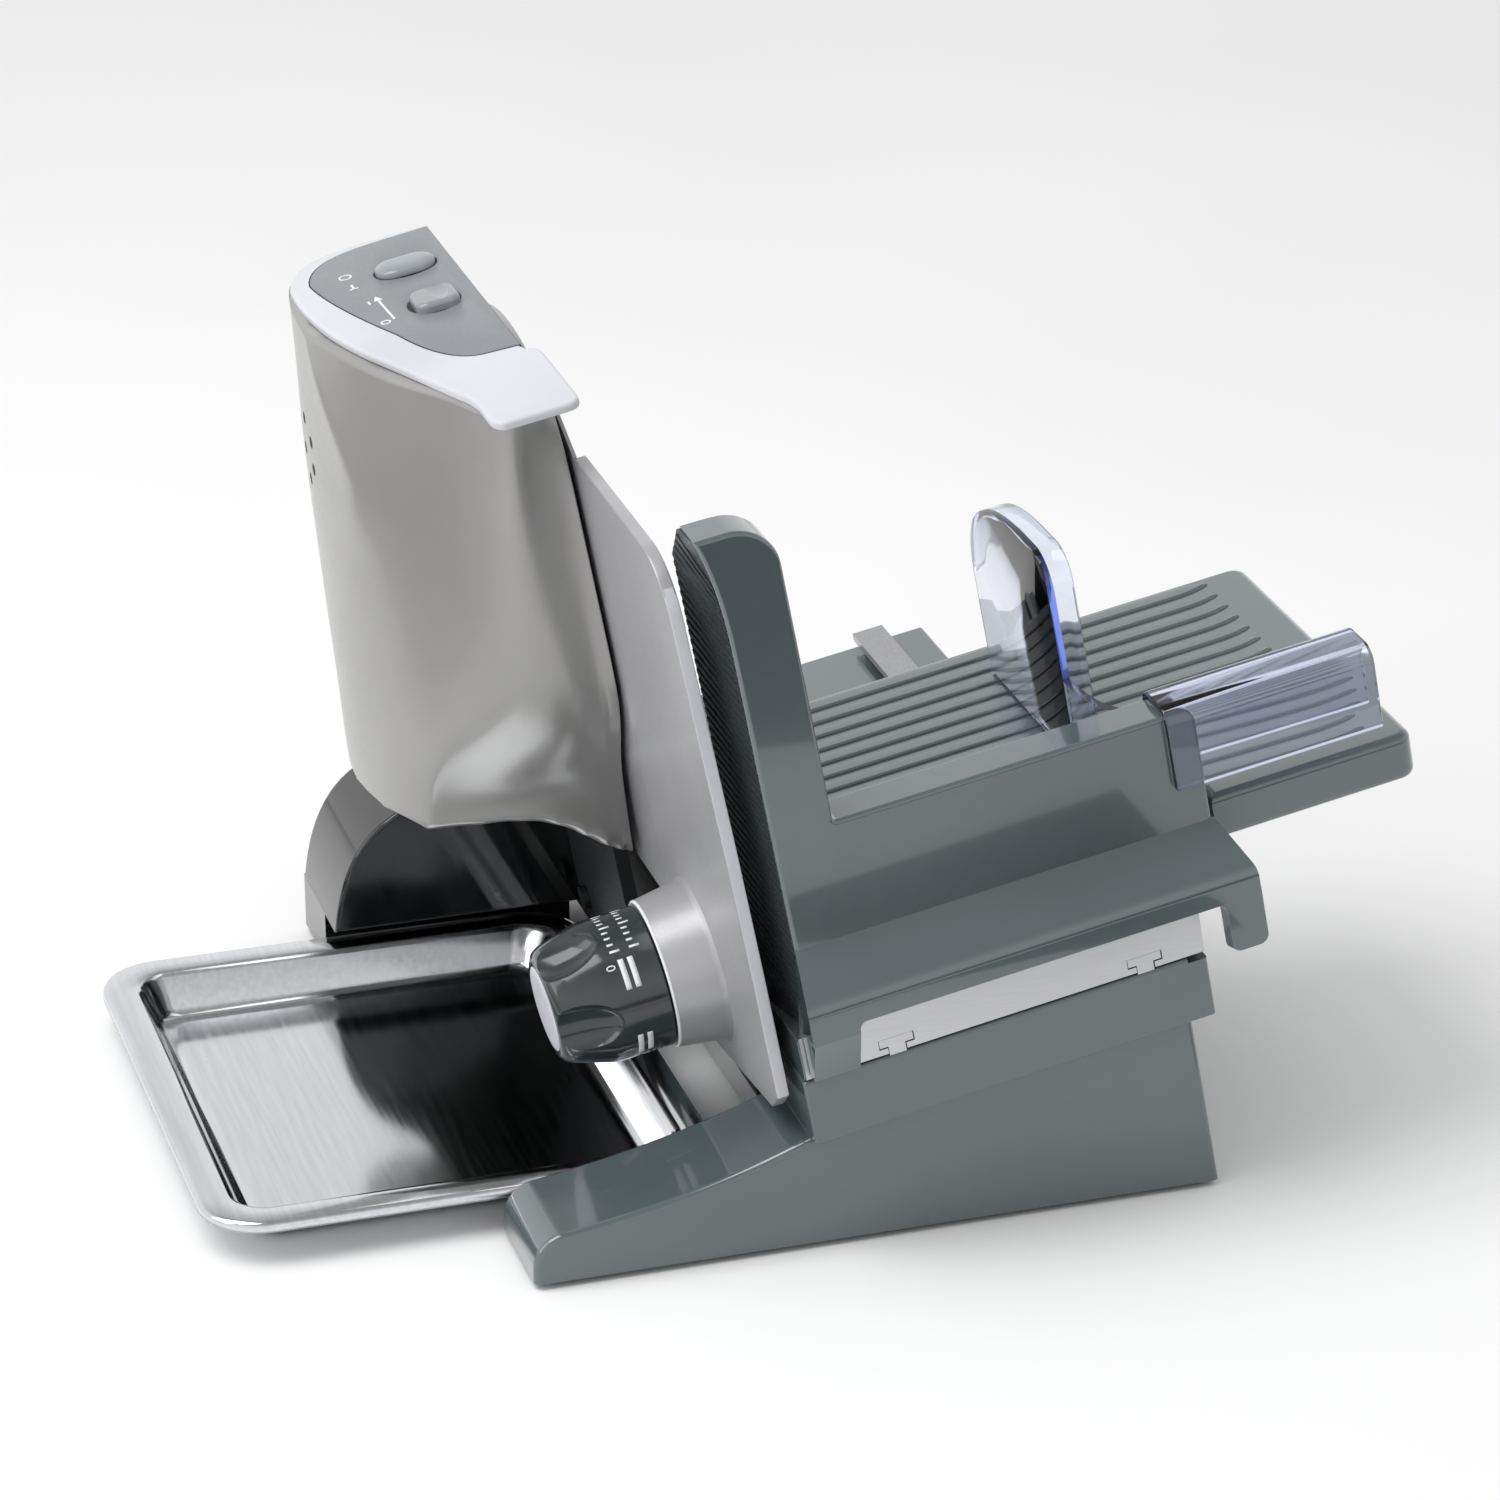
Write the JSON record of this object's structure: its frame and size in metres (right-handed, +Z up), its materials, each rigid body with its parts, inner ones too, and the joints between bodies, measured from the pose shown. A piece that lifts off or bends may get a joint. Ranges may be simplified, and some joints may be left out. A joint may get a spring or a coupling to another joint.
{
  "type": "electric food slicer",
  "caption": "Electric food slicer with a leaning deck, round blade, sliding carriage with clear pusher, thickness knob and plate, top switch and a steel tray.",
  "frame": {"origin": "middle of the outline, on the table that the slicer stands on", "axes": "+X to the right along the deck, +Y away from the user along the carriage's travel, +Z up"},
  "size_m": [0.4166, 0.316, 0.2799],
  "materials": {
    "grey_green_abs": "gloss",
    "silver_paint": "satin metallic paint",
    "pale_grey_abs": "satin",
    "panel_grey_abs": "satin",
    "black_abs": "gloss",
    "knob_grey_abs": "gloss",
    "stainless_steel": "polished",
    "steel": "machined",
    "die_cast_aluminium": "die cast",
    "clear_blue_acrylic": "clear, polished",
    "rubber": "matt",
    "bronze": "sintered",
    "nylon": "moulded",
    "copper_winding": "wound, lacquered"
  },
  "bodies": {
    "machine": {"base_shell": "grey_green_abs", "deck_box": "grey_green_abs", "guide_rails": "steel", "base_plate": "black_abs", "feet": "rubber", "pedestal": "black_abs", "rear_frame": "die_cast_aluminium", "motor_housing": "silver_paint", "top_cap": "pale_grey_abs", "control_panel": "panel_grey_abs", "blade_guard": "silver_paint", "shaft_bushes": "bronze", "motor_can": "steel", "motor_end_plates": "steel", "motor_bracket": "steel", "worm_steady": "die_cast_aluminium", "switch_block": "nylon", "gauge_bracket": "steel", "gauge_spindle": "steel", "gauge_guide_pin": "steel", "cord_gland": "rubber", "frame_screws": "steel", "base_screws": "steel"},
    "cutter": {"blade": "stainless_steel", "blade_hub": "black_abs", "blade_shaft": "steel", "drive_gear": "nylon", "blade_lock": "steel"},
    "rotor": {"motor_shaft": "steel", "armature": "copper_winding", "motor_fan": "black_abs"},
    "sliding_carriage": {"carriage": "grey_green_abs", "carriage_table": "grey_green_abs", "carriage_runner": "die_cast_aluminium"},
    "food_pusher": {"pusher": "clear_blue_acrylic"},
    "gauge": {"gauge_plate": "silver_paint"},
    "knob": {"thickness_knob": "knob_grey_abs", "knob_clip": "steel", "knob_cap": "pale_grey_abs"},
    "switch": {"slide_switch": "panel_grey_abs"},
    "button": {"push_button": "panel_grey_abs"},
    "tray": {"slice_tray": "stainless_steel"}
  },
  "joints": [
    {"name": "blade_spin", "type": "hinge", "parent": "machine", "child": "cutter", "pos_m": [-0.04292, 0.064, 0.181], "axis": [0.982, 0, 0.1891], "continuous": true},
    {"name": "motor_spin", "type": "hinge", "parent": "machine", "child": "rotor", "pos_m": [-0.07974, 0.1004, 0.17391], "axis": [-0.1891, 0, 0.982], "continuous": true},
    {"name": "carriage_slide", "type": "slide", "parent": "machine", "child": "sliding_carriage", "axis": [0, 1, 0], "range_m": [0, 0.165]},
    {"name": "pusher_slide", "type": "slide", "parent": "sliding_carriage", "child": "food_pusher", "axis": [-0.982, 0, -0.1891], "range_m": [-0.01, 0.11]},
    {"name": "gauge_slide", "type": "slide", "parent": "machine", "child": "gauge", "axis": [-0.982, 0, -0.1891], "range_m": [0, 0.015]},
    {"name": "knob_turn", "type": "hinge", "parent": "gauge", "child": "knob", "pos_m": [-0.05964, -0.062, 0.06952], "axis": [-0.982, 0, -0.1891], "range_deg": [0, 300]},
    {"name": "switch_slide", "type": "slide", "parent": "machine", "child": "switch", "axis": [0, 1, 0], "range_m": [0, 0.006]},
    {"name": "button_press", "type": "slide", "parent": "machine", "child": "button", "axis": [0.1891, 0, -0.982], "range_m": [0, 0.003], "stiffness_N_per_m": 300, "springref_m": -0.001},
    {"name": "tray_slide", "type": "slide", "parent": "machine", "child": "tray", "axis": [-1, 0, 0], "range_m": [0, 0.12]}
  ],
  "couplings": [
    {"joint": "motor_spin", "follows": "blade_spin", "ratio": 20},
    {"joint": "knob_turn", "follows": "gauge_slide", "rad_per_m": 349.06}
  ]
}
